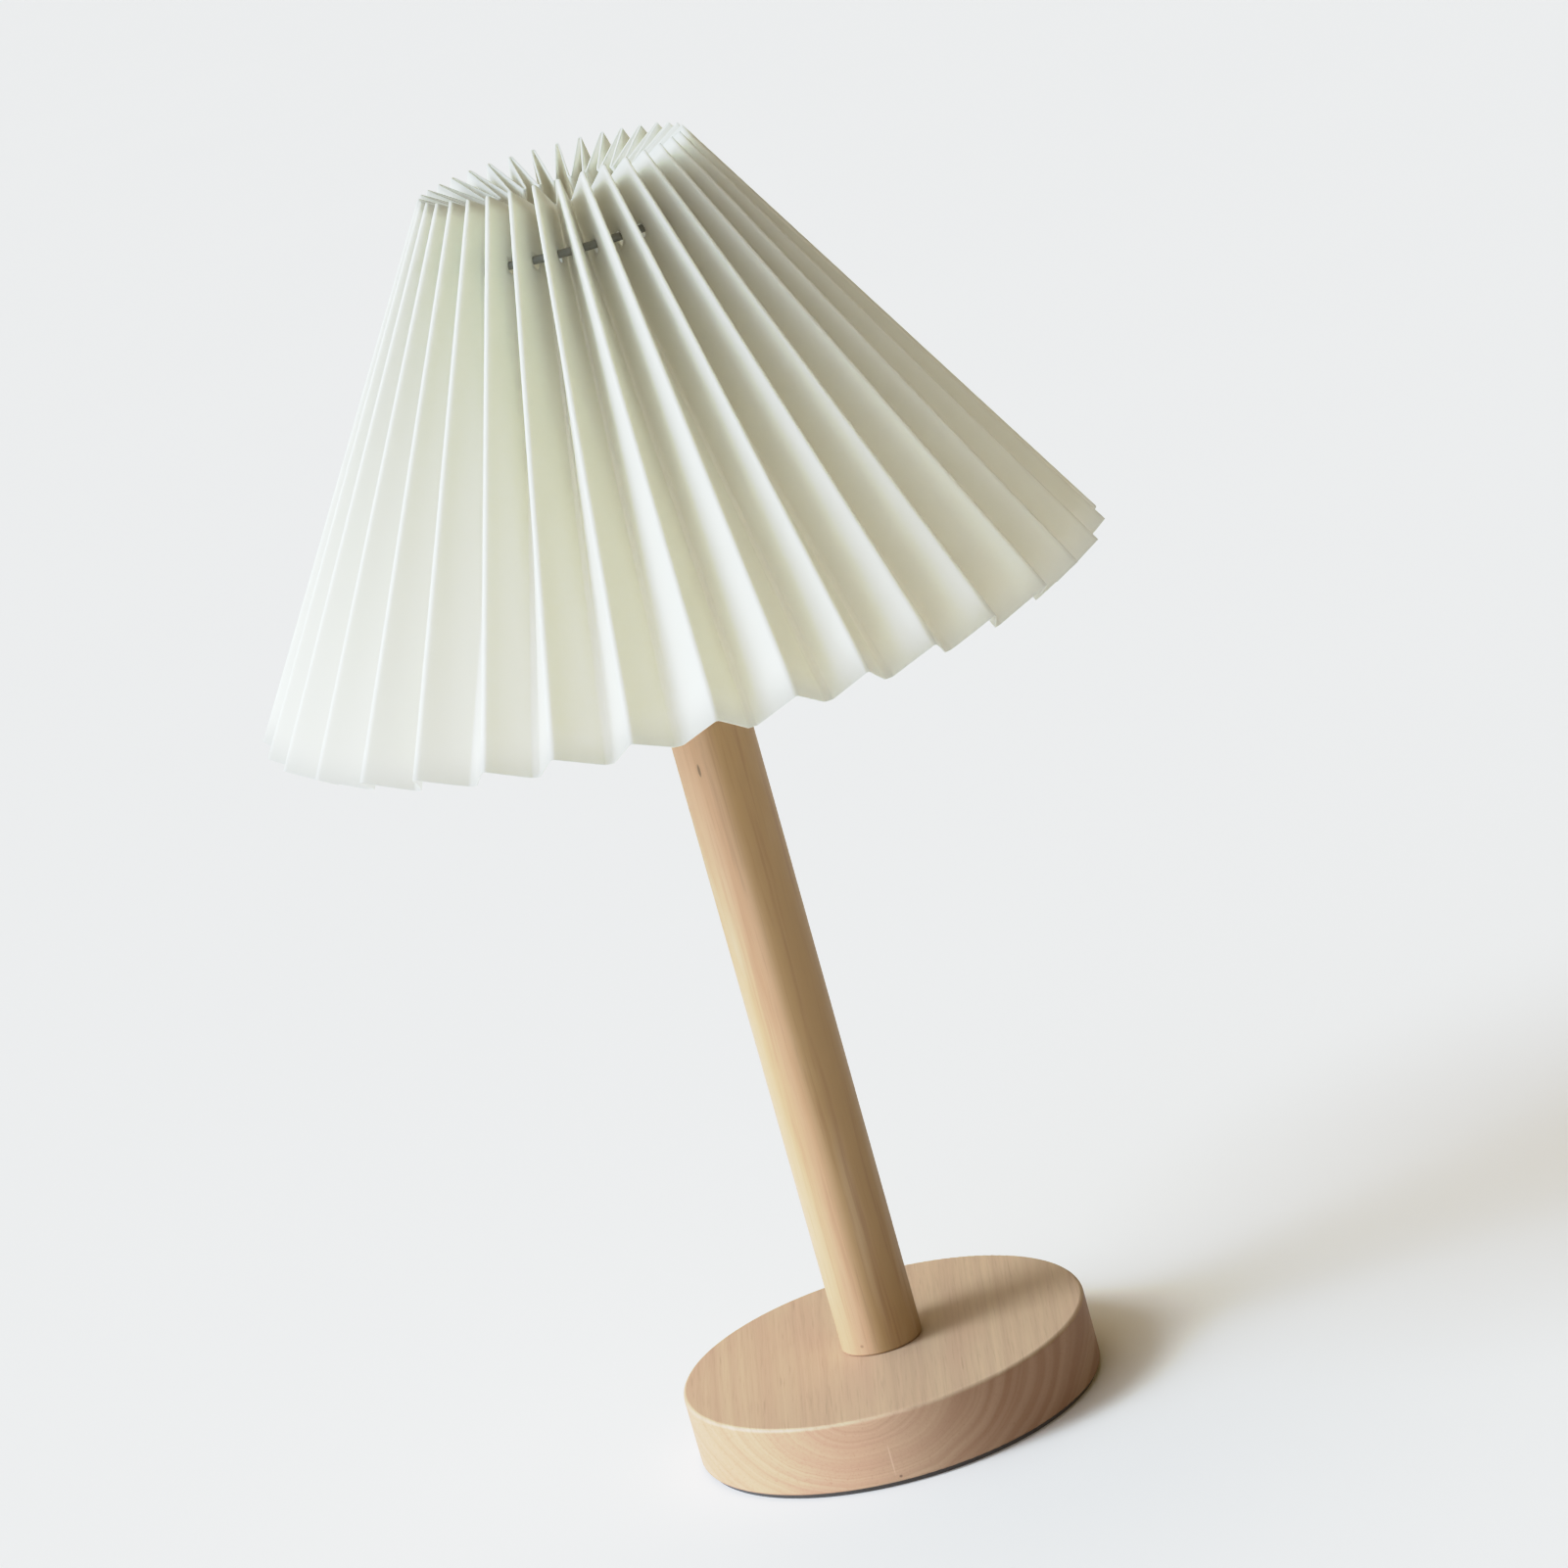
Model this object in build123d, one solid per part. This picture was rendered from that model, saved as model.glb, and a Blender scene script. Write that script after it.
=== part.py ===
from build123d import *
from math import cos, degrees, hypot, pi, sin, sqrt
import os

# Pleated paper table lamp: turned wooden foot, plain dowel column, screw-base lampholder,
# and a pleated paper cone that hangs on a wire ring threaded through its folds.
# Millimetres, +Z up, origin at the centre of the underside. The front is -Y and the cord leaves at +Y.

# ---- foot -------------------------------------------------------------------------------------
base_diameter = 125.0
base_wood_height = 21.5
base_top_edge_radius = 1.2
base_bottom_edge_radius = 0.8
pad_thickness = 1.5
pad_inset = 1.5                      # felt stops this far inside the wood's edge
recess_diameter = 36.0               # hollow under the foot for the nut and the wiring
recess_depth = 12.0

# ---- column and the threaded tube that ties it to the foot --------------------------------------
column_diameter = 25.0
column_length = 228.0
column_edge_chamfer = 0.6
tube_diameter = 10.0
tube_bore_diameter = 8.0
tube_end_below_nut = 2.0
tube_hole_clearance = 0.2            # all round, in wood
tube_thread_clearance = 0.05         # all round, in the nut and the lampholder
washer_diameter = 24.0
washer_thickness = 1.5
nut_across_flats = 14.0
nut_thickness = 4.0

# ---- cord outlet --------------------------------------------------------------------------------
outlet_bore_diameter = 6.5
outlet_wall = 0.95
outlet_length = 12.0
outlet_flange_diameter = 11.6
outlet_flange_thickness = 1.2
outlet_centre_above_wood_bottom = 7.0
outlet_inset = 0.3                   # flange face sits this far inside the foot's side
outlet_seat_clearance = 0.05
outlet_edge_chamfer = 0.3

# ---- lampholder, heights counted up from the top of the column ----------------------------------
holder_neck_diameter = 27.0
holder_neck_height = 8.0
holder_diameter = 39.0
holder_wall = 2.0
core_seat_height = 14.0
core_thickness = 6.0
core_clearance = 0.3
cap_height = 22.0
skirt_height = 38.0
skirt_thread_diameter = 40.0
skirt_thread_depth = 0.8
skirt_thread_pitch = 3.5
skirt_wall = 1.8                     # at the spigot that plugs into the cap
skirt_fit_clearance = 0.1
mouth_diameter = 29.2
mouth_lip = 2.0
screw_shell_diameter = 28.4
screw_shell_wall = 0.6
screw_shell_height = 32.0
contact_height = 4.0
contact_width = 5.0
contact_sheet = 0.5
lock_screw_diameter = 3.0
lock_screw_inset = 0.4               # below the neck's surface
screw_slot_width = 0.7
screw_slot_depth = 0.8
terminal_screw_diameter = 3.0
terminal_head_diameter = 5.2
terminal_head_height = 2.0
terminal_screw_length = 4.5
terminal_spacing = 18.0
screw_hole_clearance = 0.05

# ---- the two knurled rings that clamp the shade carrier ------------------------------------------
shade_seat_height = 44.0             # top of the lower ring, above the top of the column
ring_height = 5.0
ring_wall = 4.2
ring_running_clearance = 0.3
ring_grips = 24
ring_grip_radius = 1.2

# ---- shade carrier -------------------------------------------------------------------------------
hub_rim_width = 7.4
hub_thickness = 2.0
arm_wire_diameter = 2.2
arm_inset = 2.0                      # arm centre to the hub's edge
arm_straight_rise = 9.0
arm_bend_radius = 30.0
carrier_rise = 75.5                  # hub top to the centre of the threaded wire ring
ring_wire_diameter = 2.4
carrier_arms = 3

# ---- pleated sheet --------------------------------------------------------------------------------
pleats = 35
pleat_width = 17.0                   # fold to fold, across one panel
sheet_thickness = 0.5
fold_flat = 0.8                      # width of the rounded-off fold, on the sheet's middle surface
shade_top_radius = 39.5              # outer folds, upper end
shade_bottom_radius = 127.0          # outer folds, lower end
shade_rise = 141.5                   # height between those two ends
punch_diameter = 4.4
punch_below_end = 18.2               # from the upper cut edge, along the panel
punch_from_fold = 11.0               # from the outer fold, across the panel
punch_rest_clearance = 0.35          # wire to the upper rim of its hole

# ---- bulb, heights counted up from its contact ----------------------------------------------------
bulb_contact_gap = 0.3
bulb_length = 100.0
bulb_diameter = 37.0
bulb_widest_height = 56.0
bulb_tip_radius = 4.0
bulb_glass_wall = 1.0
bulb_contact_diameter = 9.0
bulb_contact_height = 2.0
bulb_insulator_height = 4.0
bulb_cap_height = 20.0
bulb_thread_diameter = 26.3
bulb_thread_depth = 1.0
bulb_thread_pitch = 3.63
bulb_thread_turns = 4
bulb_neck_diameter = 24.8
bulb_cap_wall = 0.4
bulb_stem_height = 20.0
bulb_stem_diameter = 9.0
filament_length = 32.0
filament_diameter = 1.6
filament_circle = 9.0
filaments = 4

# ---- levels and radii that follow ------------------------------------------------------------------
wood_bottom = pad_thickness
base_top = wood_bottom + base_wood_height
column_top = base_top + column_length
recess_ceiling = wood_bottom + recess_depth
nut_bottom = recess_ceiling - washer_thickness - nut_thickness
tube_bottom = nut_bottom - tube_end_below_nut
tube_top = column_top + holder_neck_height
outlet_level = wood_bottom + outlet_centre_above_wood_bottom
core_bottom = column_top + core_seat_height
core_top = core_bottom + core_thickness
cap_top = column_top + cap_height
skirt_top = cap_top + skirt_height
lower_ring_bottom = column_top + shade_seat_height - ring_height
hub_bottom = column_top + shade_seat_height
hub_top = hub_bottom + hub_thickness
bulb_bottom = core_top + contact_height + bulb_contact_gap
skirt_thread_radius = skirt_thread_diameter / 2
ring_bore_radius = skirt_thread_radius + ring_running_clearance
ring_outer_radius = ring_bore_radius + ring_wall
hub_outer_radius = ring_bore_radius + hub_rim_width
arm_radius_at_hub = hub_outer_radius - arm_inset
spigot_radius = holder_diameter / 2 - holder_wall - skirt_fit_clearance
spigot_bore = spigot_radius - skirt_wall

# the sheet: half a pleat in plan, and how far the inner folds lie behind the outer ones
half_pleat = pi / pleats
slope = (shade_bottom_radius - shade_top_radius) / shade_rise


def pleat_depth(radius):
    """Plan depth of a pleat whose panels keep their width while the folds fan out."""
    fan = 1 - cos(half_pleat)
    lean = 1 + slope ** 2
    spare = pleat_width ** 2 - 2 * radius ** 2 * fan
    return (radius * fan + sqrt((radius * fan) ** 2 + lean * spare)) / lean


def polar(radius, azimuth, sideways=0.0):
    """Plan point at an azimuth counted from the front, moved sideways along the circle."""
    x = radius * sin(azimuth) + sideways * cos(azimuth)
    y = -radius * cos(azimuth) + sideways * sin(azimuth)
    return Vector(x, y, 0)


def panel_point(across, along, top_level):
    """Point on the middle surface of the panel beside the front fold; both shares run 0 to 1."""
    ends = []
    for radius, level in ((shade_top_radius, top_level), (shade_bottom_radius, top_level - shade_rise)):
        depth = pleat_depth(radius)
        outer = polar(radius, 0, fold_flat / 2) + Vector(0, 0, level)
        inner = polar(radius - depth, half_pleat, -fold_flat / 2) + Vector(0, 0, level - depth * slope)
        ends.append(outer * (1 - across) + inner * across)
    return ends[0] * (1 - along) + ends[1] * along


panel_length = hypot(shade_rise, shade_bottom_radius - shade_top_radius)
punch_across = punch_from_fold / pleat_width
punch_along = punch_below_end / panel_length
punch_at_datum = panel_point(punch_across, punch_along, 0)
wire_ring_radius = hypot(punch_at_datum.X, punch_at_datum.Y)
wire_ring_level = hub_top + carrier_rise
punch_level = wire_ring_level - (punch_diameter - ring_wire_diameter) / 2 + punch_rest_clearance
shade_top_level = punch_level - punch_at_datum.Z


# ---- helpers ----------------------------------------------------------------------------------------
def turned(points):
    """Solid of revolution about +Z from a closed outline of (radius, height) points."""
    outline = Polyline([(radius, 0, height) for radius, height in points], close=True)
    return revolve(make_face(outline), Axis.Z, 360)


def pipe(outer_radius, inner_radius, low, high):
    return turned([(inner_radius, low), (outer_radius, low), (outer_radius, high), (inner_radius, high)])


def rod(radius, low, high):
    return Pos(0, 0, (low + high) / 2) * Cylinder(radius, high - low)


def ribs(crest, root, start, pitch, count):
    """Outline points of the thread's ridges on a turned part, bottom to top."""
    points = []
    for turn in range(count):
        low = start + turn * pitch
        points += [(root, low), (crest, low + pitch * 0.3), (crest, low + pitch * 0.6), (root, low + pitch * 0.9)]
    return points


# ---- foot ---------------------------------------------------------------------------------------------
def base_disc():
    radius = base_diameter / 2
    body = rod(radius, wood_bottom, base_top)
    body = fillet(body.edges().group_by(Axis.Z)[-1], base_top_edge_radius)
    body = fillet(body.edges().group_by(Axis.Z)[0], base_bottom_edge_radius)
    body -= rod(recess_diameter / 2, wood_bottom - 1, recess_ceiling)
    body -= rod(tube_diameter / 2 + tube_hole_clearance, recess_ceiling - 1, base_top + 1)
    channel_radius = outlet_bore_diameter / 2 + outlet_wall + outlet_seat_clearance
    body -= outward_hole(channel_radius, 0)
    seat_radius = outlet_flange_diameter / 2 + outlet_seat_clearance
    return body - outward_hole(seat_radius, radius - outlet_inset - outlet_flange_thickness)


def outward_hole(hole_radius, start):
    """Cutter for the cord's way out at the back, from a distance behind the axis to past the side."""
    length = base_diameter / 2 + 1 - start
    return Pos(0, start + length / 2, outlet_level) * Cylinder(hole_radius, length, rotation=(90, 0, 0))


def base_pad():
    return rod(base_diameter / 2 - pad_inset, 0, pad_thickness)


def cord_bushing():
    bore = outlet_bore_diameter / 2
    sleeve = bore + outlet_wall
    flange = outlet_flange_diameter / 2
    edge = outlet_edge_chamfer
    shape = turned([(bore, -outlet_length), (sleeve, -outlet_length), (sleeve, -outlet_flange_thickness),
                    (flange, -outlet_flange_thickness), (flange, -edge), (flange - edge, 0), (bore + edge, 0),
                    (bore, -edge)])
    return Pos(0, base_diameter / 2 - outlet_inset, outlet_level) * Rot(-90, 0, 0) * shape


# ---- column and tie tube ---------------------------------------------------------------------------------
def column():
    body = rod(column_diameter / 2, base_top, column_top)
    body = chamfer(body.edges(), column_edge_chamfer)
    return body - rod(tube_diameter / 2 + tube_hole_clearance, base_top - 1, column_top + 1)


def threaded_tube():
    return pipe(tube_diameter / 2, tube_bore_diameter / 2, tube_bottom, tube_top)


def base_washer():
    hole = tube_diameter / 2 + tube_hole_clearance
    return pipe(washer_diameter / 2, hole, recess_ceiling - washer_thickness, recess_ceiling)


def base_nut():
    flats = extrude(RegularPolygon(nut_across_flats / 2, 6, major_radius=False), nut_thickness)
    body = Pos(0, 0, nut_bottom) * flats
    return body - rod(tube_diameter / 2 + tube_thread_clearance, nut_bottom - 1, nut_bottom + nut_thickness + 1)


# ---- lampholder ---------------------------------------------------------------------------------------------
def lampholder_cap():
    bore = tube_diameter / 2 + tube_thread_clearance
    neck = holder_neck_diameter / 2
    outside = holder_diameter / 2
    shoulder = column_top + core_seat_height - 2
    body = turned([(bore, column_top), (neck, column_top), (neck, column_top + holder_neck_height - 3),
                   (outside, shoulder), (outside, cap_top), (outside - holder_wall, cap_top),
                   (outside - holder_wall, core_bottom), (outside - 2 * holder_wall, core_bottom),
                   (outside - 2 * holder_wall, column_top + holder_neck_height), (bore, column_top + holder_neck_height)])
    body = fillet(body.edges().filter_by(GeomType.CIRCLE).group_by(lambda e: e.radius)[-1].sort_by(Axis.Z)[0], 2)
    return body - lock_screw_hole()


def lock_screw_place():
    return Pos(0, 0, column_top + holder_neck_height / 2 - 1) * Rot(-90, 0, 0)


def lock_screw_hole():
    length = holder_neck_diameter / 2 + 1
    return lock_screw_place() * Pos(0, 0, length / 2) * Cylinder(lock_screw_diameter / 2 + screw_hole_clearance, length)


def lampholder_lock_screw():
    inner_end = tube_diameter / 2 + tube_thread_clearance
    outer_end = holder_neck_diameter / 2 - lock_screw_inset
    length = outer_end - inner_end
    screw = Pos(0, 0, inner_end + length / 2) * Cylinder(lock_screw_diameter / 2, length)
    slot = Pos(0, 0, outer_end) * Box(screw_slot_width, lock_screw_diameter, 2 * screw_slot_depth)
    return lock_screw_place() * (screw - slot)


def terminal_places():
    return [Pos(side * terminal_spacing / 2, 0, core_bottom) for side in (-1, 1)]


def lampholder_core():
    body = rod(spigot_radius - core_clearance, core_bottom, core_top)
    for place in terminal_places():
        body -= place * Pos(0, 0, terminal_screw_length / 2 - 1) * Cylinder(
            terminal_screw_diameter / 2 + screw_hole_clearance, terminal_screw_length + 2)
    return body


def terminal_screws():
    screws = []
    for place in terminal_places():
        head = Pos(0, 0, -terminal_head_height / 2) * Cylinder(terminal_head_diameter / 2, terminal_head_height)
        head -= Pos(0, 0, -terminal_head_height) * Box(terminal_head_diameter, screw_slot_width, 2 * screw_slot_depth)
        shank = Pos(0, 0, terminal_screw_length / 2) * Cylinder(terminal_screw_diameter / 2, terminal_screw_length)
        screws.append(place * (head + shank))
    return Compound(screws)


def centre_contact():
    strip = Pos(0, 0, core_top + contact_sheet / 2) * Box(2 * contact_width, contact_width, contact_sheet)
    bridge = Pos(0, 0, core_top + contact_height / 2) * Box(contact_width, contact_width, contact_height)
    hollow = Box(contact_width - 2 * contact_sheet, contact_width + 1, contact_height - 2 * contact_sheet)
    return strip + bridge - Pos(0, 0, core_top + contact_height / 2) * hollow


def screw_shell():
    outer = screw_shell_diameter / 2
    return pipe(outer, outer - screw_shell_wall, core_top, core_top + screw_shell_height)


def lampholder_shell():
    crest = skirt_thread_radius
    root = crest - skirt_thread_depth
    first = cap_top + 2
    turns = int((skirt_height - 5) / skirt_thread_pitch)
    outline = [(spigot_bore, core_top), (spigot_radius, core_top), (spigot_radius, cap_top), (crest, cap_top),
               (crest, cap_top + 1)]
    outline += ribs(crest, root, first, skirt_thread_pitch, turns)
    outline += [(root, skirt_top - 1), (root - 1, skirt_top), (mouth_diameter / 2, skirt_top),
                (mouth_diameter / 2, skirt_top - mouth_lip), (spigot_bore, skirt_top - mouth_lip)]
    return turned(outline)


# ---- clamping rings --------------------------------------------------------------------------------------------
def shade_ring(low):
    body = pipe(ring_outer_radius, ring_bore_radius, low, low + ring_height)
    body = chamfer(body.edges().filter_by(GeomType.CIRCLE).group_by(lambda e: e.radius)[-1], 0.5)
    grip = Cylinder(ring_grip_radius, ring_height + 2)
    for turn in range(ring_grips):
        place = polar(ring_outer_radius + ring_grip_radius * 0.45, 2 * pi * turn / ring_grips)
        body -= Pos(place.X, place.Y, low + ring_height / 2) * grip
    return body


# ---- shade carrier -----------------------------------------------------------------------------------------------
def carrier_hub():
    body = pipe(hub_outer_radius, ring_bore_radius, hub_bottom, hub_top)
    return fillet(body.edges(), 0.4)


def wire_ring():
    return Pos(0, 0, wire_ring_level) * Torus(wire_ring_radius, ring_wire_diameter / 2)


def arm_azimuth(index):
    """Arms reach the wire ring inside a pleat, so they stand at the nearest outer fold."""
    return 2 * half_pleat * round(index * pleats / carrier_arms)


def carrier_arm(index):
    azimuth = arm_azimuth(index)
    corners = [(arm_radius_at_hub, hub_top), (arm_radius_at_hub, hub_top + arm_straight_rise),
               (wire_ring_radius, wire_ring_level)]
    points = [polar(radius, azimuth) + Vector(0, 0, level) for radius, level in corners]
    path = FilletPolyline(points, radius=arm_bend_radius)
    section = Plane(origin=points[0], z_dir=(0, 0, 1)) * Circle(arm_wire_diameter / 2)
    return sweep(section, path) - wire_ring()


# ---- pleated sheet --------------------------------------------------------------------------------------------------
def fold_corners(radius):
    """Plan corners of the sheet's middle line at one end, two for each fold, going round once."""
    inner_radius = radius - pleat_depth(radius)
    corners = []
    for pleat in range(pleats):
        azimuth = 2 * half_pleat * pleat
        corners += [polar(radius, azimuth, side * fold_flat / 2) for side in (-1, 1)]
        corners += [polar(inner_radius, azimuth + half_pleat, side * fold_flat / 2) for side in (-1, 1)]
    return corners


def offset_corner(before, here, after, distance):
    """Mitred corner of a line parallel to before-here-after, to the right of its direction."""
    ahead = (here - before).normalized()
    onward = (after - here).normalized()
    first = Vector(ahead.Y, -ahead.X, 0)
    second = Vector(onward.Y, -onward.X, 0)
    return here + (first + second) * (distance / (1 + first.dot(second)))


def sheet_end(radius, level):
    """Outer and inner corners of the cut edge, which lies square to the folds and so rises outwards."""
    corners = fold_corners(radius)
    count = len(corners)
    loops = []
    for side in (1, -1):
        loop = []
        for i in range(count):
            spot = offset_corner(corners[i - 1], corners[i], corners[(i + 1) % count], side * sheet_thickness / 2)
            behind = radius - hypot(spot.X, spot.Y)
            loop.append(spot + Vector(0, 0, level - behind * slope))
        loops.append(loop)
    return loops


def ruled_face(first, second, third, fourth):
    """Face between the straight edges first-second and fourth-third."""
    return Face.make_surface_from_curves(Edge.make_line(first, second), Edge.make_line(fourth, third))


def punches():
    """One round punch through each panel, square to it, for the wire ring."""
    step = 0.01
    level = shade_top_level
    centre = panel_point(punch_across, punch_along, level)
    across = panel_point(punch_across + step, punch_along, level) - centre
    along = panel_point(punch_across, punch_along + step, level) - centre
    length = 4 * sheet_thickness + 1
    punch = Plane(origin=centre, z_dir=across.cross(along)) * Cylinder(punch_diameter / 2, length)
    pair = [punch, mirror(punch, Plane.YZ)]
    return [Rot(0, 0, degrees(2 * half_pleat * pleat)) * tool for pleat in range(pleats) for tool in pair]


def pleated_shade():
    top_outer, top_inner = sheet_end(shade_top_radius, shade_top_level)
    low_outer, low_inner = sheet_end(shade_bottom_radius, shade_top_level - shade_rise)
    count = len(top_outer)
    faces = []
    for i in range(count):
        j = (i + 1) % count
        faces.append(ruled_face(low_outer[i], low_outer[j], top_outer[j], top_outer[i]))
        faces.append(ruled_face(low_inner[i], low_inner[j], top_inner[j], top_inner[i]))
        faces.append(ruled_face(top_outer[i], top_outer[j], top_inner[j], top_inner[i]))
        faces.append(ruled_face(low_outer[i], low_outer[j], low_inner[j], low_inner[i]))
    sheet = Solid(Shell(faces))
    return sheet - punches()


# ---- bulb -----------------------------------------------------------------------------------------------------------------
def bulb_place(shape):
    return Pos(0, 0, bulb_bottom) * shape


bulb_cap_bottom = bulb_contact_height + bulb_insulator_height
bulb_cap_top = bulb_cap_bottom + bulb_cap_height
bulb_neck_radius = bulb_neck_diameter / 2


def bulb_contact():
    radius = bulb_contact_diameter / 2
    return bulb_place(turned([(0, 0), (radius * 0.6, 0), (radius, bulb_contact_height * 0.6),
                              (radius, bulb_contact_height), (0, bulb_contact_height)]))


def bulb_insulator():
    narrow = bulb_contact_diameter / 2 + 1
    wide = bulb_neck_radius - bulb_thread_depth
    return bulb_place(turned([(0, bulb_contact_height), (narrow, bulb_contact_height), (wide, bulb_cap_bottom),
                              (0, bulb_cap_bottom)]))


def bulb_cap():
    crest = bulb_thread_diameter / 2
    root = crest - bulb_thread_depth
    inside = bulb_neck_radius - bulb_thread_depth - bulb_cap_wall
    neck = bulb_neck_radius + bulb_cap_wall
    threads_top = bulb_cap_bottom + 1 + bulb_thread_turns * bulb_thread_pitch
    outline = [(inside, bulb_cap_bottom), (root, bulb_cap_bottom)]
    outline += ribs(crest, root, bulb_cap_bottom + 1, bulb_thread_pitch, bulb_thread_turns)
    outline += [(neck, threads_top + 1), (neck, bulb_cap_top), (bulb_neck_radius, bulb_cap_top),
                (bulb_neck_radius, threads_top + 1.5), (inside, threads_top)]
    return bulb_place(turned(outline))


def globe_outline(wall):
    """Half outline of the candle shape, inset by a wall, closed along the axis."""
    foot = bulb_cap_top - 3
    neck = bulb_neck_radius - 0.1 - wall
    widest = bulb_diameter / 2 - wall
    tip = bulb_length - wall
    blend = bulb_tip_radius - wall / 2
    side = Spline([(neck, 0, foot + 6), (widest, 0, bulb_widest_height), (blend, 0, tip - blend * 0.55), (0, 0, tip)],
                  tangents=[(0.12, 0, 1), (-1, 0, 0)])
    return make_face([Line((0, 0, foot), (neck, 0, foot)), Line((neck, 0, foot), (neck, 0, foot + 6)), side,
                      Line((0, 0, tip), (0, 0, foot))])


def bulb_globe():
    outside = revolve(globe_outline(0), Axis.Z, 360)
    inside = revolve(globe_outline(bulb_glass_wall), Axis.Z, 360)
    opening = rod(bulb_neck_radius - 0.1 - bulb_glass_wall, bulb_cap_top - 4, bulb_cap_top)
    return bulb_place(outside - inside - opening)


def bulb_stem():
    radius = bulb_stem_diameter / 2
    foot = bulb_cap_top - 3
    flare = bulb_neck_radius - 0.3 - bulb_glass_wall
    crown = bulb_cap_top + bulb_stem_height + filament_length
    shoulder = bulb_cap_top + bulb_stem_height
    plate = filament_circle / 2 + filament_diameter
    post = bulb_stem_diameter / 6
    return bulb_place(turned([(0, foot), (flare, foot), (flare, foot + 1.5), (radius, foot + 8), (radius, shoulder - 1),
                              (plate, shoulder - 1), (plate, shoulder), (post, shoulder), (post, crown),
                              (plate, crown), (plate, crown + 1), (0, crown + 1)]))


def bulb_filaments():
    low = bulb_cap_top + bulb_stem_height
    stick = rod(filament_diameter / 2, low, low + filament_length)
    places = [polar(filament_circle / 2, 2 * pi * turn / filaments) for turn in range(filaments)]
    return bulb_place(Compound([Pos(place.X, place.Y, 0) * stick for place in places]))


# ---- write each piece ---------------------------------------------------------------------------------------------------
pieces = {
    "base_disc": base_disc(),
    "base_pad": base_pad(),
    "cord_bushing": cord_bushing(),
    "column": column(),
    "threaded_tube": threaded_tube(),
    "base_washer": base_washer(),
    "base_nut": base_nut(),
    "lampholder_cap": lampholder_cap(),
    "lampholder_lock_screw": lampholder_lock_screw(),
    "lampholder_core": lampholder_core(),
    "terminal_screws": terminal_screws(),
    "centre_contact": centre_contact(),
    "screw_shell": screw_shell(),
    "lampholder_shell": lampholder_shell(),
    "lower_shade_ring": shade_ring(lower_ring_bottom),
    "upper_shade_ring": shade_ring(hub_top),
    "carrier_hub": carrier_hub(),
    "carrier_ring": wire_ring(),
    "pleated_shade": pleated_shade(),
    "bulb_contact": bulb_contact(),
    "bulb_insulator": bulb_insulator(),
    "bulb_cap": bulb_cap(),
    "bulb_globe": bulb_globe(),
    "bulb_stem": bulb_stem(),
    "bulb_filaments": bulb_filaments(),
}
for index in range(carrier_arms):
    pieces[f"carrier_arm_{index + 1}"] = carrier_arm(index)

os.makedirs("parts", exist_ok=True)
for name, shape in pieces.items():
    export_step(shape, f"parts/{name}.step")
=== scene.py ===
from math import atan2, cos, hypot, pi, radians, sin

import bmesh
import bpy
from mathutils import Matrix, Vector


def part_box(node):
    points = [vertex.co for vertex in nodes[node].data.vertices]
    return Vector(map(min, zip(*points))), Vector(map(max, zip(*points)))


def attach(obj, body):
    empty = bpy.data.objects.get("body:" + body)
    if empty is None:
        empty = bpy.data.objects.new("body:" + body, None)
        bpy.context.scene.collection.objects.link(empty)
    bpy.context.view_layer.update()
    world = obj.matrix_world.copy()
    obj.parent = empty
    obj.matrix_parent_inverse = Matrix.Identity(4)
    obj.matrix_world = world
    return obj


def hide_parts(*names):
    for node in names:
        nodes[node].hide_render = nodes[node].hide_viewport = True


# Pleated paper table lamp: a folded paper cone on a wire ring, a wooden dowel and a round wooden foot.
# Metres, +Z up, origin at the centre of the underside, front at -Y.

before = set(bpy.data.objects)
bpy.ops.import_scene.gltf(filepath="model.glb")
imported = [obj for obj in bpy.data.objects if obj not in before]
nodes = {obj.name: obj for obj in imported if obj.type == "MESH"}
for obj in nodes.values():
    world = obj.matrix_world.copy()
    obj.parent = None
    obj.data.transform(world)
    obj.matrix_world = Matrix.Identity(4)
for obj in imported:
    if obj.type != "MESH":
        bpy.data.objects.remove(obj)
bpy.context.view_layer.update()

MM = 0.001

# ---- camera, at the photograph's viewing angle ---------------------------------------------------
CAMERA_PLACE = Vector((-22.8, -1598.15, 597.9)) * MM
CAMERA_AIM = Vector((16.5, -0.2, 197.75)) * MM
CAMERA_ROLL = radians(-15.583)
CAMERA_LENS = 128.46                 # millimetres, on a sensor 36 mm wide


def make_camera():
    forward = (CAMERA_AIM - CAMERA_PLACE).normalized()
    level = forward.cross(Vector((0, 0, 1))).normalized()
    upright = level.cross(forward)
    right = level * cos(CAMERA_ROLL) + upright * sin(CAMERA_ROLL)
    up = upright * cos(CAMERA_ROLL) - level * sin(CAMERA_ROLL)
    data = bpy.data.cameras.new("camera")
    data.sensor_width = 36
    data.lens = CAMERA_LENS
    data.clip_end = 50
    camera = bpy.data.objects.new("camera", data)
    turn = Matrix((right, up, -forward)).transposed()
    camera.matrix_world = Matrix.Translation(CAMERA_PLACE) @ turn.to_4x4()
    bpy.context.scene.collection.objects.link(camera)
    bpy.context.scene.camera = camera


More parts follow.
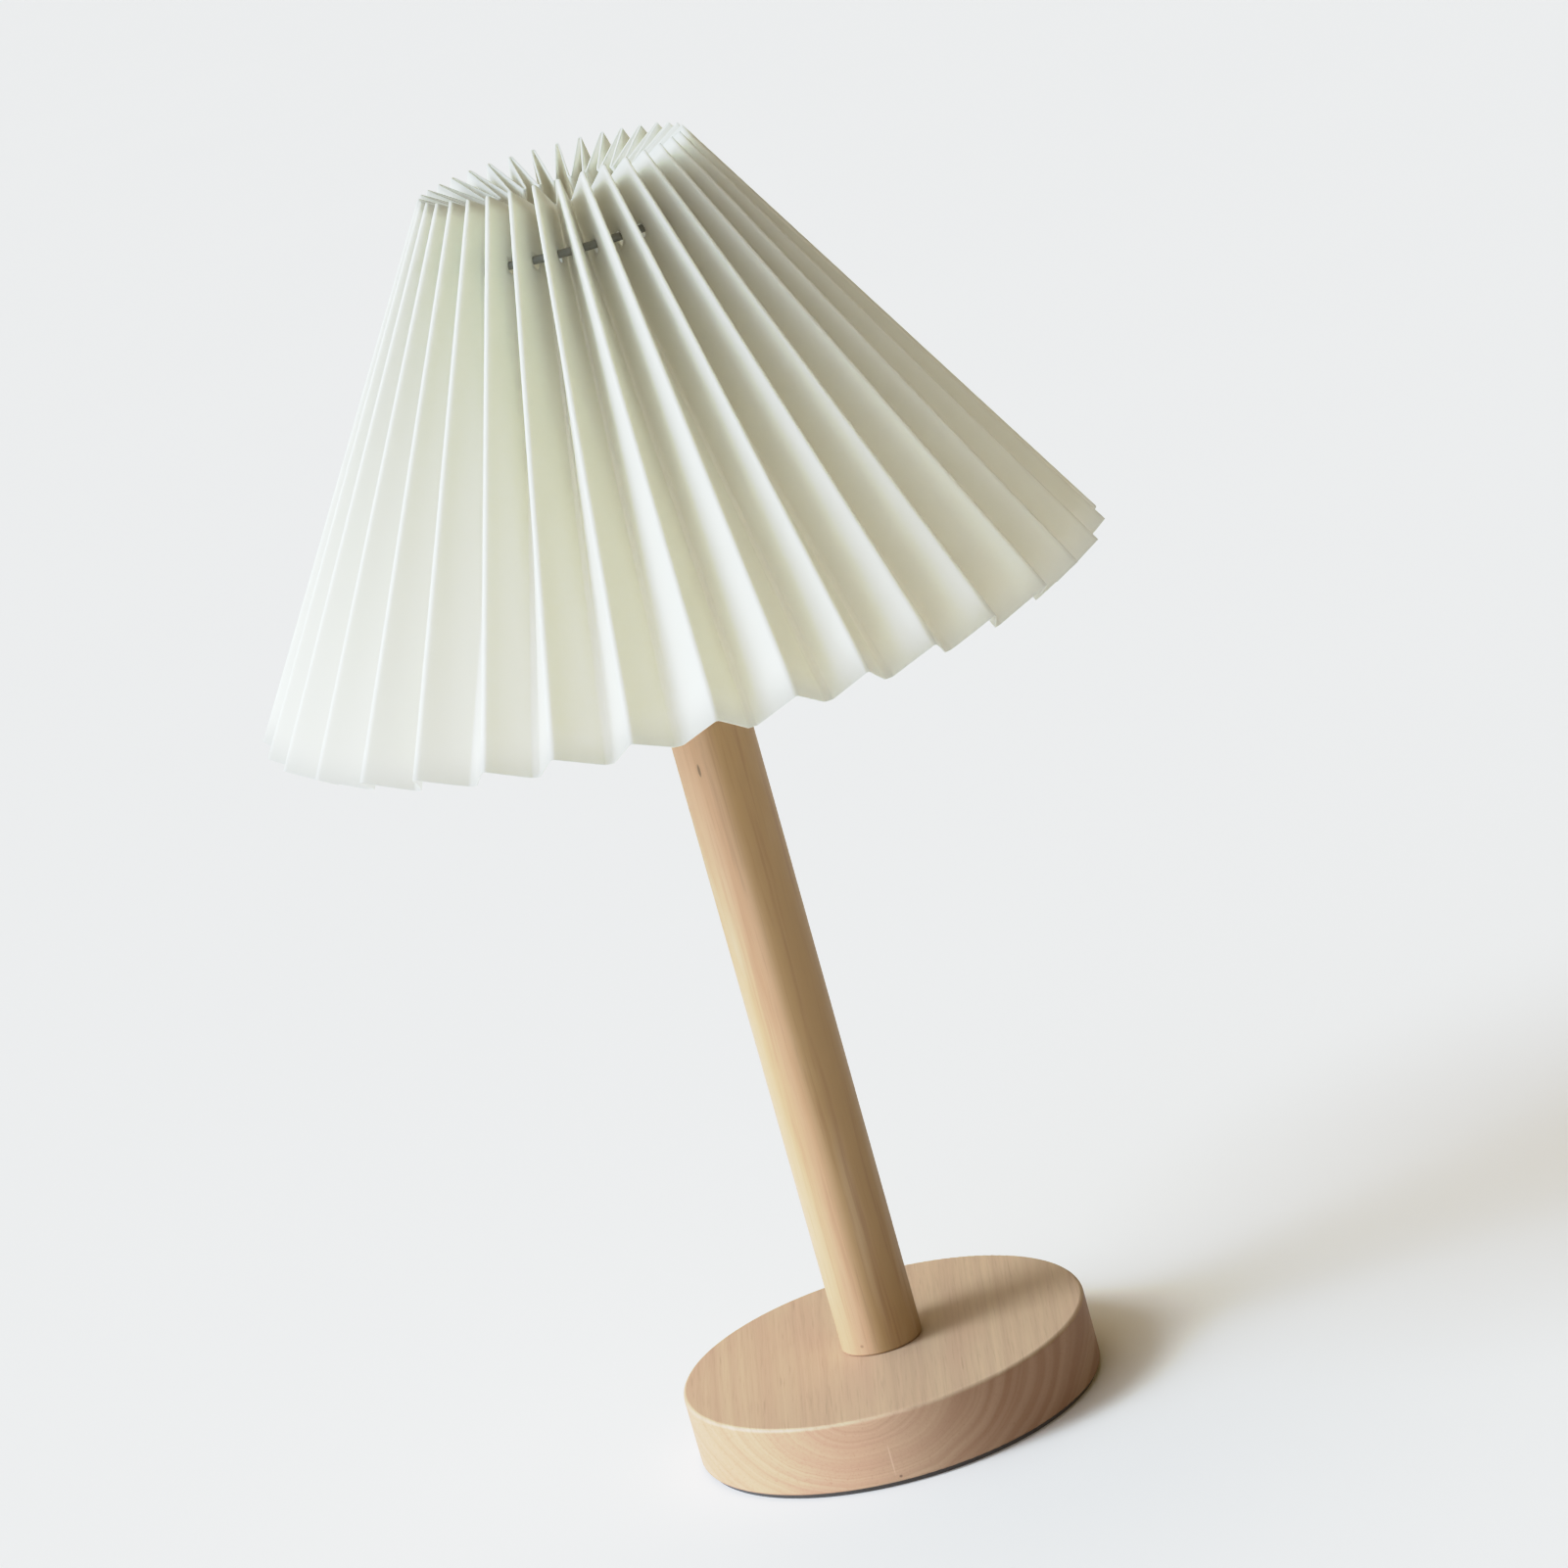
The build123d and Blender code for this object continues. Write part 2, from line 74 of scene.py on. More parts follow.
# ---- node trees as expressions -------------------------------------------------------------------
class Wire:
    """One output of a node. Arithmetic on wires adds the Math node that does it."""

    def __init__(self, graph, socket):
        self.graph = graph
        self.socket = socket

    def __getitem__(self, name):
        """Another output of the same node."""
        return Wire(self.graph, self.graph.find(self.socket.node.outputs, name))

    def __add__(self, other):
        return self.graph.math("ADD", self, other)

    def __radd__(self, other):
        return self.graph.math("ADD", other, self)

    def __sub__(self, other):
        return self.graph.math("SUBTRACT", self, other)

    def __rsub__(self, other):
        return self.graph.math("SUBTRACT", other, self)

    def __mul__(self, other):
        return self.graph.math("MULTIPLY", self, other)

    def __rmul__(self, other):
        return self.graph.math("MULTIPLY", other, self)

    def __truediv__(self, other):
        return self.graph.math("DIVIDE", self, other)

    def __rtruediv__(self, other):
        return self.graph.math("DIVIDE", other, self)


class Graph:
    """Adds nodes to a material's or a geometry tree and links them."""

    def __init__(self, tree):
        self.tree = tree

    @staticmethod
    def find(sockets, name):
        """The live socket with that place, identifier or name."""
        live = [s for s in sockets if s.enabled]
        if isinstance(name, int):
            return live[name]
        return next(s for s in live if name in (s.identifier, s.name))

    def add(self, kind, settings=None, *places, **named):
        """A node with its settings, then values or links for its sockets, by place or by name."""
        node = self.tree.nodes.new(kind)
        for name, value in (settings or {}).items():
            setattr(node, name, value)
        for name, value in [*enumerate(places), *named.items()]:
            socket = self.find(node.inputs, name.replace("_", " ") if isinstance(name, str) else name)
            if isinstance(value, Wire):
                self.tree.links.new(value.socket, socket)
            else:
                socket.default_value = value
        live = [s for s in node.outputs if s.enabled]
        return Wire(self, live[0]) if live else node

    def math(self, operation, *values):
        return self.add("ShaderNodeMath", {"operation": operation}, *values)

    def vector(self, operation, *values):
        return self.add("ShaderNodeVectorMath", {"operation": operation}, *values)

    def scaled(self, vector, factor):
        return self.add("ShaderNodeVectorMath", {"operation": "SCALE"}, vector, Scale=factor)

    def dot(self, first, second):
        return self.vector("DOT_PRODUCT", first, second)

    def join(self, x, y, z):
        return self.add("ShaderNodeCombineXYZ", None, x, y, z)

    def split(self, vector):
        parts = self.add("ShaderNodeSeparateXYZ", None, vector)
        return parts["X"], parts["Y"], parts["Z"]

    def between(self, value, low, high):
        """0 below low, 1 above high, smooth between them."""
        return self.add("ShaderNodeMapRange", {"interpolation_type": "SMOOTHSTEP"}, value, low, high)

    def mix(self, factor, first, second):
        """A blend of two numbers."""
        return self.add("ShaderNodeMix", {"data_type": "FLOAT"}, factor, first, second)

    def blend(self, factor, first, second):
        """A blend of two colours."""
        return self.add("ShaderNodeMix", {"data_type": "RGBA"}, factor, first, second)

    def noise(self, place, scale, detail=2.0, roughness=0.5, distortion=0.0):
        return self.add("ShaderNodeTexNoise", None, place, Scale=scale, Detail=detail,
                        Roughness=roughness, Distortion=distortion)

    def stretched(self, place, scale, turn=(0, 0, 0), move=(0, 0, 0)):
        return self.add("ShaderNodeMapping", {"vector_type": "POINT"}, place, Location=move,
                        Rotation=turn, Scale=scale)

    def bump(self, height, distance, strength=1.0):
        return self.add("ShaderNodeBump", None, Height=height, Distance=distance, Strength=strength)


def srgb(red, green, blue):
    """A colour given as it looks on a screen, 0 to 255, as linear light."""
    parts = [part / 255 for part in (red, green, blue)]
    linear = [part / 12.92 if part <= 0.04 else ((part + 0.055) / 1.055) ** 2.4 for part in parts]
    return (*linear, 1.0)


def new_material(name):
    """A material with an empty tree, its graph, and the place of a point on the object."""
    material = bpy.data.materials.new(name)
    material.use_nodes = True
    material.node_tree.nodes.clear()
    graph = Graph(material.node_tree)
    place = graph.add("ShaderNodeTexCoord")["Object"]
    return material, graph, place


def finish_with(graph, surface):
    graph.add("ShaderNodeOutputMaterial", None, Surface=surface)


# ---- the folded sheet ----------------------------------------------------------------------------
PLEATS = 35
PANEL_WIDTH = 17.0 * MM
SHEET_THICKNESS = 0.45 * MM
FOLD_WIDTH = 0.8 * MM
TOP_RADIUS = 39.5 * MM
BOTTOM_RADIUS = 127.0 * MM
RISE = 141.5 * MM
PANEL_LENGTH = hypot(RISE, BOTTOM_RADIUS - TOP_RADIUS)
HOLE_RADIUS = 2.2 * MM
HOLE_BELOW_END = 18.2 * MM
HOLE_FROM_FOLD = 11.0 * MM
HOLE_FRAME = 2.9 * MM                # half the side of the square that the mesh keeps round a hole
HOLE_STEPS = 5                       # mesh steps along a side of that square
FOLD_REACH = 2.2 * MM                # the mesh is fine this near to a fold
FOLD_STEPS = 7
STEPS_BESIDE_HOLE = (3, 1)           # mesh steps on the outer fold's side and on the inner fold's
STEPS_PAST_HOLE = (4, 13)            # mesh steps above the hole and below it
WELD = 0.01 * MM                     # vertices nearer than this are one


def spread(start, end, steps):
    return [start + (end - start) * i / steps for i in range(steps + 1)]


def join_runs(*runs):
    """Runs of places, end to end, with each shared end once."""
    places = list(runs[0])
    for run in runs[1:]:
        places += run[1:]
    return places


def cell_columns():
    """Places across one panel, from its outer fold to its inner fold, close together at the folds."""
    fine = [FOLD_REACH * (i / FOLD_STEPS) ** 2 for i in range(FOLD_STEPS + 1)]
    left = HOLE_FROM_FOLD - HOLE_FRAME
    right = HOLE_FROM_FOLD + HOLE_FRAME
    before, after = STEPS_BESIDE_HOLE
    return join_runs(fine, spread(FOLD_REACH, left, before), spread(left, right, HOLE_STEPS),
                     spread(right, PANEL_WIDTH - FOLD_REACH, after),
                     [PANEL_WIDTH - x for x in reversed(fine)])


def cell_rows():
    """Places down a panel from its upper cut edge."""
    above = HOLE_BELOW_END - HOLE_FRAME
    below = HOLE_BELOW_END + HOLE_FRAME
    before, after = STEPS_PAST_HOLE
    return join_runs(spread(0, above, before), spread(above, below, HOLE_STEPS),
                     spread(below, PANEL_LENGTH, after))


def square_walk(count):
    """Steps of a walk round a square of count by count cells, counterclockwise from its low corner."""
    walk = [(i, 0) for i in range(count)]
    walk += [(count, i) for i in range(count)]
    walk += [(count - i, count) for i in range(count)]
    walk += [(0, count - i) for i in range(count)]
    return walk


def flat_panel(mesh, mirrored):
    """One flat panel with its punched hole, the second of a pleat as a mirror image of the first."""
    columns = cell_columns()
    rows = cell_rows()
    first_column = columns.index(HOLE_FROM_FOLD - HOLE_FRAME)
    first_row = rows.index(HOLE_BELOW_END - HOLE_FRAME)

    def point(x, y):
        return mesh.verts.new((2 * PANEL_WIDTH - x if mirrored else x, y, 0))

    def face(*corners):
        mesh.faces.new(reversed(corners) if mirrored else corners)

    grid = [[point(x, y) for y in rows] for x in columns]
    for i in range(len(columns) - 1):
        for j in range(len(rows) - 1):
            in_hole = 0 <= i - first_column < HOLE_STEPS and 0 <= j - first_row < HOLE_STEPS
            if not in_hole:
                face(grid[i][j], grid[i + 1][j], grid[i + 1][j + 1], grid[i][j + 1])
    outer = [grid[first_column + i][first_row + j] for i, j in square_walk(HOLE_STEPS)]
    rim = []
    for i, j in square_walk(HOLE_STEPS):
        angle = atan2(j - HOLE_STEPS / 2, i - HOLE_STEPS / 2)
        rim.append(point(HOLE_FROM_FOLD + HOLE_RADIUS * cos(angle),
                         HOLE_BELOW_END + HOLE_RADIUS * sin(angle)))
    for k in range(len(outer)):
        n = (k + 1) % len(outer)
        face(outer[k], outer[n], rim[n], rim[k])
    inside = [v for v in mesh.verts if not v.link_faces]
    bmesh.ops.delete(mesh, geom=inside, context="VERTS")


def flat_pleat():
    """Two panels side by side, lying flat: outer fold, inner fold, outer fold."""
    mesh = bmesh.new()
    flat_panel(mesh, mirrored=False)
    flat_panel(mesh, mirrored=True)
    bmesh.ops.remove_doubles(mesh, verts=mesh.verts, dist=WELD)
    data = bpy.data.meshes.new("flat_pleat")
    mesh.to_mesh(data)
    mesh.free()
    return data


def new_geometry_tree(name, inputs):
    """A geometry tree with one geometry in, one out and named inputs: {name: (kind, value)}."""
    tree = bpy.data.node_groups.new(name, "GeometryNodeTree")
    tree.interface.new_socket("Geometry", in_out="INPUT", socket_type="NodeSocketGeometry")
    tree.interface.new_socket("Geometry", in_out="OUTPUT", socket_type="NodeSocketGeometry")
    for label, (kind, value) in inputs.items():
        socket = tree.interface.new_socket(label, in_out="INPUT", socket_type="NodeSocket" + kind)
        if value is not None:
            socket.default_value = value
    return tree


def add_geometry_nodes(piece, tree, values):
    """Puts the tree on a piece, with its inputs set by the sockets' identifiers."""
    modifier = piece.modifiers.new(tree.name, "NODES")
    modifier.node_group = tree
    for item in tree.interface.items_tree:
        if item.in_out == "INPUT" and item.name in values:
            modifier[item.identifier] = values[item.name]


INWARD_SHARE = 0.6                   # a fold's unevenness in and out, as a share of that sideways
TOP_SALT = 1                         # these keep the random numbers of the ends and panels apart
LOW_SALT = 5
BOW_SALT = 11
PLEATING_INPUTS = {
    "Pleats": ("Int", PLEATS),
    "Panel Width": ("Float", PANEL_WIDTH),
    "Panel Length": ("Float", PANEL_LENGTH),
    "Top Radius": ("Float", TOP_RADIUS),
    "Bottom Radius": ("Float", BOTTOM_RADIUS),
    "Rise": ("Float", RISE),
    "Top Level": ("Float", 0.393),
    "Fold Width": ("Float", FOLD_WIDTH),
    "Inner Fold Spread": ("Float", 1.5),       # how much wider inner folds are at the lower end
    "Crease Reach": ("Float", 0.28 * MM),      # a panel runs into the fold's flat over this distance
    "Crease Softness": ("Float", 0.35 * MM),   # how far the fold's edge is rounded off
    "Top Unevenness": ("Float", 0.25 * MM),
    "Bottom Unevenness": ("Float", 1.1 * MM),
    "Panel Bow": ("Float", 0.35 * MM),
    "Seed": ("Int", 7),
    "Paper": ("Material", None),
}


def pleating_tree():
    """Lays flat pleats in a row, then folds the row up and wraps it into a cone."""
    tree = new_geometry_tree("pleating", PLEATING_INPUTS)
    g = Graph(tree)
    given = g.add("NodeGroupInput")
    pleats = given["Pleats"]
    width = given["Panel Width"]
    slope = (given["Bottom Radius"] - given["Top Radius"]) / given["Rise"]
    half_pleat = pi / pleats

    row = g.add("GeometryNodeMeshLine", {"mode": "OFFSET"}, Count=pleats, Offset=g.join(2 * width, 0, 0))
    strip = g.add("GeometryNodeInstanceOnPoints", None, Points=row, Instance=given["Geometry"])
    strip = g.add("GeometryNodeRealizeInstances", None, strip)
    strip = g.add("GeometryNodeMergeByDistance", None, strip, Distance=WELD)
    across, along, _ = g.split(g.add("GeometryNodeInputPosition"))
    across = across / width
    along = along / given["Panel Length"]
    strip = g.add("GeometryNodeStoreNamedAttribute", {"data_type": "FLOAT2", "domain": "CORNER"}, strip,
                  Name="flat", Value=g.join(across, along, 0))

    def chance(item, salt):
        """A number from -1 to 1 that belongs to one fold or panel."""
        return g.add("FunctionNodeRandomValue", {"data_type": "FLOAT"}, Min=-1.0, Max=1.0, ID=item,
                     Seed=given["Seed"] + salt)

    def pleat_depth(radius):
        """How far inner folds lie behind the outer ones, for panels that keep their width."""
        fan = 1 - g.math("COSINE", half_pleat)
        lean = 1 + slope * slope
        spare = width * width - 2 * radius * radius * fan
        return (radius * fan + g.math("SQRT", radius * fan * radius * fan + lean * spare)) / lean

    def fold_end(fold, radius, level, uneven, salt):
        """Where a fold meets one cut end, and its azimuth there. The cut is square to the folds."""
        inner = g.math("MODULO", fold, 2.0)
        reach = radius - inner * pleat_depth(radius) + chance(fold, salt) * uneven * INWARD_SHARE
        azimuth = fold * half_pleat + chance(fold, salt + 1) * uneven / radius
        point = g.join(reach * g.math("SINE", azimuth), 0 - reach * g.math("COSINE", azimuth),
                       level - (radius - reach) * slope)
        return point, azimuth

    def fold_line(fold):
        """The fold's point beside the vertex, its sideways direction, and half its flat width."""
        fold = g.math("MODULO", fold, 2 * pleats)
        top, top_azimuth = fold_end(fold, given["Top Radius"], given["Top Level"],
                                    given["Top Unevenness"], TOP_SALT)
        low, low_azimuth = fold_end(fold, given["Bottom Radius"], given["Top Level"] - given["Rise"],
                                    given["Bottom Unevenness"], LOW_SALT)
        azimuth = g.mix(along, top_azimuth, low_azimuth)
        point = g.add("ShaderNodeMix", {"data_type": "VECTOR"}, along, top, low)
        sideways = g.join(g.math("COSINE", azimuth), g.math("SINE", azimuth), 0)
        wider = 1 + g.math("MODULO", fold, 2.0) * given["Inner Fold Spread"] * along
        return point, sideways, wider * given["Fold Width"] / 2

    def rounded(point, beside, run, sideways, flat):
        """What the fold's rounding adds to a point that lies a distance beside the fold."""
        swell = flat * (g.math("TANH", beside / given["Crease Reach"]) - 1)
        soft = given["Crease Softness"]
        sag = g.math("SQRT", beside * beside + soft * soft) - beside
        inward = g.vector("SUBTRACT", run, g.scaled(sideways, g.dot(run, sideways)))
        point = g.vector("ADD", point, g.scaled(sideways, swell))
        return g.vector("ADD", point, g.scaled(inward, sag))

    panel = g.math("FLOOR", across + 0.0001)     # a vertex on a fold counts with the panel after it
    share = across - panel
    before, before_side, before_flat = fold_line(panel)
    after, after_side, after_flat = fold_line(panel + 1)
    start = g.vector("ADD", before, g.scaled(before_side, before_flat))
    end = g.vector("SUBTRACT", after, g.scaled(after_side, after_flat))
    run = g.scaled(g.vector("SUBTRACT", end, start), 1 / width)
    point = g.vector("ADD", start, g.scaled(run, share * width))
    point = rounded(point, share * width, run, before_side, before_flat)
    back_side = g.scaled(after_side, -1.0)
    point = rounded(point, (1 - share) * width, g.scaled(run, -1.0), back_side, after_flat)
    face = g.vector("NORMALIZE", g.vector("CROSS_PRODUCT", run, (0, 0, -1)))
    bow = chance(panel, BOW_SALT) * given["Panel Bow"] * 4 * share * (1 - share) * along
    point = g.vector("ADD", point, g.scaled(face, bow))

    cone = g.add("GeometryNodeSetPosition", None, strip, Position=point)
    cone = g.add("GeometryNodeMergeByDistance", None, cone, Distance=WELD)
    cone = g.add("GeometryNodeSetShadeSmooth", None, cone)
    cone = g.add("GeometryNodeRealizeInstances", None, cone)
    cone = g.add("GeometryNodeSetMaterial", None, cone, Material=given["Paper"])
    g.add("NodeGroupOutput", None, cone)
    return tree


def link(name, data):
    piece = bpy.data.objects.new(name, data)
    bpy.context.scene.collection.objects.link(piece)
    return piece


def settle(piece):
    """Turns a piece and its modifiers into a plain mesh at the origin."""
    graph = bpy.context.evaluated_depsgraph_get()
    mesh = bpy.data.meshes.new_from_object(piece.evaluated_get(graph), depsgraph=graph)
    piece.modifiers.clear()
    piece.data = mesh
    return piece


def make_shade(material):
    """The pleated sheet, folded from the flat, with a real thickness."""
    piece = link("shade_sheet", flat_pleat())
    # At an outer fold the wall's outer face stands half its thickness off, about half of that upward.
    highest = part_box("pleated_shade")[1].z - SHEET_THICKNESS / 4
    add_geometry_nodes(piece, pleating_tree(), {"Top Level": highest, "Paper": material})
    wall = piece.modifiers.new("wall", "SOLIDIFY")
    wall.thickness = SHEET_THICKNESS
    wall.offset = 0
    settle(piece)
    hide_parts("pleated_shade")
    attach(piece, "shade")
    return piece


# ---- materials -----------------------------------------------------------------------------------
PAPER_LETS_THROUGH = 0.54
OPAL_LETS_THROUGH = 0.35
GRAIN_RELIEF = 0.35                  # strength of the bump that fine grain gives


def paper():
    """Ivory card: satin, faintly mottled, with a painted highlight along its outer folds and whiter along
    its cut edges.
    """
    material, g, place = new_material("ivory_card")
    flat = g.add("ShaderNodeUVMap", {"uv_map": "flat"})
    across, along, _ = g.split(flat)
    from_outer = g.math("PINGPONG", across, 1.0) * (PANEL_WIDTH / MM)
    # Painted highlight: the outer folds lighter, as where the crease catches the light.
    fold_highlight = 1 - g.between(from_outer, 0.1, 0.55)
    from_end = g.math("MINIMUM", along, 1 - along) * (PANEL_LENGTH / MM)
    cut = 1 - g.between(from_end, 0.25, 0.8)
    mottle = g.noise(place, 60, 3)
    fibres = g.noise(g.stretched(place, (1, 1, 0.35)), 2600, 2, 0.6)
    colour = g.blend(mottle, srgb(250, 249, 243), srgb(251, 250, 245))
    # The painted highlight along the outer folds and the lighter band at the cut ends, blended in
    # together.
    colour = g.blend(g.math("MAXIMUM", fold_highlight * 0.25, cut * 0.6), colour, srgb(249, 250, 248))
    relief = g.bump(fibres, 0.02 * MM, GRAIN_RELIEF)
    front = g.add("ShaderNodeBsdfPrincipled", None, Base_Color=colour, Roughness=0.46 + 0.1 * fibres,
                  Normal=relief)
    through = g.add("ShaderNodeBsdfTranslucent", None, Color=srgb(250, 248, 238))
    finish_with(g, g.add("ShaderNodeMixShader", None, PAPER_LETS_THROUGH, front, through))
    return material


def spot(g, place, centre, size):
    """1 inside an ellipsoid with a soft rim, 0 outside. Centre and half sizes in millimetres."""
    away = g.vector("SUBTRACT", place, Vector(centre) * MM)
    away = g.vector("DIVIDE", away, Vector(size) * MM)
    return 1 - g.between(g.vector("LENGTH", away)["Value"], 0.55, 1.0)


def tinted(g, colour, *layers):
    """Lays tints over a colour, each an amount and the tint's colour."""
    for amount, tint in layers:
        colour = g.blend(amount, colour, tint)
    return colour


def oiled_wood(g, colour, fibres, roughness):
    """Bare wood with a soft sheen and fine open grain."""
    surface = g.add("ShaderNodeBsdfPrincipled", None, Base_Color=colour,
                    Roughness=roughness + 0.12 * fibres, Normal=g.bump(fibres, 0.05 * MM, GRAIN_RELIEF))
    finish_with(g, surface)


def foot_wood():
    """Plain-sawn pale hardwood. The heart line runs front to back, just above the foot, so that the
    front shows nested bowls of growth rings and the top shows straight bands. The right flank of the side
    carries painted shade."""
    material, g, place = new_material("foot_wood")
    board = g.stretched(place, (1, 1, 1), turn=(0, 0, radians(4)), move=(0.0075, 0, -0.027))
    x, _, z = g.split(board)
    lengthwise = g.stretched(board, (1, 0.15, 1))
    x = x + (g.noise(lengthwise, 26, 2) - 0.5) * 0.008
    z = z + (g.noise(lengthwise, 40, 2) - 0.5) * 0.005
    from_heart = g.math("SQRT", x * x * 0.5 + z * z * 1.3)
    in_one = {"noise_dimensions": "1D"}
    bands = g.add("ShaderNodeTexNoise", in_one, W=from_heart, Scale=260, Detail=1.5)
    lines = g.add("ShaderNodeTexNoise", in_one, W=from_heart + 0.5, Scale=900, Detail=2.0)
    fibres = g.noise(g.stretched(board, (1, 0.03, 1)), 1500, 3, 0.6)
    dashes = g.noise(g.stretched(board, (1, 0.05, 1), move=(0.3, 0.1, 0)), 900, 1)
    pores = g.noise(board, 2300, 2, 0.6)
    patches = g.noise(g.stretched(board, (1, 0.3, 1)), 45, 2)
    colour = g.blend(g.between(bands, 0.30, 0.70), srgb(201, 171, 142), srgb(207, 180, 149))
    _, _, height = g.split(place)
    side = 1 - g.between(height, 21.6 * MM, 22.8 * MM)
    # Painted shade: the right of the side, away from the window, is made darker and browner.
    right = side * g.between(x, 0.004, 0.048)
    crack = spot(g, place, (-7.8, -62.4, 8.8), (0.30, 3, 6))
    knot = spot(g, place, (-6.4, -62.3, 3.2), (0.6, 3, 0.5))
    colour = tinted(g, colour,
                    (g.between(patches, 0.5, 0.75) * 0.35, srgb(196, 157, 133)),
                    (g.between(lines, 0.52, 0.72) * (0.14 + 0.10 * side), srgb(220, 193, 164)),
                    (g.between(lines, 0.48, 0.28) * (0.12 + 0.08 * side), srgb(172, 134, 106)),
                    (g.between(fibres, 0.48, 0.78) * 0.28, srgb(168, 131, 103)),
                    (g.between(dashes, 0.69, 0.80) * 0.24, srgb(152, 108, 80)),
                    (g.between(pores, 0.62, 0.8) * 0.15, srgb(170, 132, 102)),
                    (side * 0.34, srgb(172, 120, 84)),
                    # painted shade on the right flank of the side
                    (right * (0.53 + 0.22 * g.between(bands, 0.6, 0.4)), srgb(138, 90, 50)),
                    (crack * 0.22, srgb(236, 218, 192)),
                    (knot * 0.7, srgb(110, 76, 54)))
    oiled_wood(g, colour, fibres, 0.5)
    return material


def dowel_wood():
    """Pale straight-grained wood, the grain along the column: a light flank at the left, a browner flank
    at the right, partly the wood's own darker band and partly painted shade on the side away from the
    window."""
    material, g, place = new_material("dowel_wood")
    x, _, z = g.split(place)
    streaks = g.noise(g.stretched(place, (1, 1, 0.035)), 480, 3, 0.6)
    fibres = g.noise(g.stretched(place, (1, 1, 0.025)), 1900, 3, 0.6)
    broad = g.noise(g.stretched(place, (1, 1, 0.06)), 110, 2)
    figure = g.noise(g.stretched(place, (1, 1, 0.16)), 75, 2, 0.5, 0.6)
    # The browner right of the column is partly the wood's own darker band and partly painted shade on the
    # side away from the window.
    edge = x + (0.0045 - z * 0.012) + (broad - 0.5) * 0.006
    brown_wood_and_shade = g.between(edge, -0.0030, 0.0045)
    colour = g.blend(g.between(broad, 0.35, 0.65), srgb(201, 168, 134), srgb(194, 158, 121))
    dash = spot(g, place, (-6.6, -10.8, 211.2), (0.45, 3, 2.4))
    fleck = spot(g, place, (-6.6, -10.8, 26.4), (0.6, 3, 0.6))
    colour = tinted(g, colour,
                    (brown_wood_and_shade * 0.82, srgb(173, 139, 88)),
                    (g.between(figure, 0.52, 0.72) * 0.35, srgb(206, 182, 154)),
                    (g.between(streaks, 0.50, 0.72) * (0.20 + 0.35 * brown_wood_and_shade), srgb(158, 116, 78)),
                    (g.between(fibres, 0.5, 0.78) * 0.30, srgb(164, 131, 94)),
                    (dash * 0.7, srgb(112, 88, 60)),
                    (fleck * 0.5, srgb(140, 108, 74)))
    oiled_wood(g, colour, fibres, 0.42)
    return material


def felt():
    """Dark needled felt."""
    material, g, place = new_material("felt")
    tufts = g.noise(place, 1400, 3, 0.7)
    colour = g.blend(tufts, srgb(74, 69, 65), srgb(104, 98, 92))
    surface = g.add("ShaderNodeBsdfPrincipled", None, Base_Color=colour, Roughness=0.95,
                    Normal=g.bump(tufts, 0.3 * MM, 0.6), Sheen_Weight=0.3)
    finish_with(g, surface)
    return material


def metal(name, light, dark, roughness, grain=900):
    """Bare or plated metal with fine wear in its tone and gloss."""
    material, g, place = new_material(name)
    wear = g.noise(place, grain, 3, 0.6)
    colour = g.blend(wear, light, dark)
    surface = g.add("ShaderNodeBsdfPrincipled", None, Base_Color=colour, Metallic=1.0,
                    Roughness=roughness + 0.12 * wear, Normal=g.bump(wear, 0.01 * MM, 0.3))
    finish_with(g, surface)
    return material


def moulded(name, light, dark, roughness, coat=0.0):
    """Moulded plastic or glazed ceramic: fine skin, slight clouding."""
    material, g, place = new_material(name)
    cloud = g.noise(place, 90, 3)
    skin = g.noise(place, 2600, 2)
    colour = g.blend(cloud, light, dark)
    surface = g.add("ShaderNodeBsdfPrincipled", None, Base_Color=colour, Roughness=roughness + 0.08 * skin,
                    Normal=g.bump(skin, 0.015 * MM, 0.3), Coat_Weight=coat)
    finish_with(g, surface)
    return material


def painted_wire():
    """Dark satin enamel on steel wire."""
    material, g, place = new_material("dark_wire")
    cloud = g.noise(place, 700, 3)
    colour = g.blend(cloud, srgb(124, 124, 114), srgb(148, 147, 136))
    surface = g.add("ShaderNodeBsdfPrincipled", None, Base_Color=colour, Metallic=0.2,
                    Roughness=0.45 + 0.15 * cloud, Normal=g.bump(cloud, 0.02 * MM, 0.3))
    finish_with(g, surface)
    return material


def opal_glass():
    """Milky glass with a soft gloss."""
    material, g, place = new_material("opal_glass")
    cloud = g.noise(place, 40, 2)
    colour = g.blend(cloud, srgb(240, 240, 236), srgb(248, 248, 245))
    front = g.add("ShaderNodeBsdfPrincipled", None, Base_Color=colour, Roughness=0.12 + 0.06 * cloud,
                  Coat_Weight=0.3)
    through = g.add("ShaderNodeBsdfTranslucent", None, Color=colour)
    finish_with(g, g.add("ShaderNodeMixShader", None, OPAL_LETS_THROUGH, front, through))
    return material


def clear_glass():
    """Clear glass of the stem."""
    material, g, place = new_material("clear_glass")
    ripple = g.noise(place, 300, 2)
    surface = g.add("ShaderNodeBsdfPrincipled", None, Base_Color=srgb(236, 242, 240),
                    Roughness=0.04 + 0.05 * ripple, Transmission_Weight=0.9, IOR=1.5)
    finish_with(g, surface)
    return material


def phosphor():
    """Yellow coating of the light sticks."""
    material, g, place = new_material("phosphor")
    grain = g.noise(place, 1800, 2)
    colour = g.blend(grain, srgb(232, 190, 70), srgb(244, 209, 104))
    surface = g.add("ShaderNodeBsdfPrincipled", None, Base_Color=colour, Roughness=0.6 + 0.2 * grain)
    finish_with(g, surface)
    return material


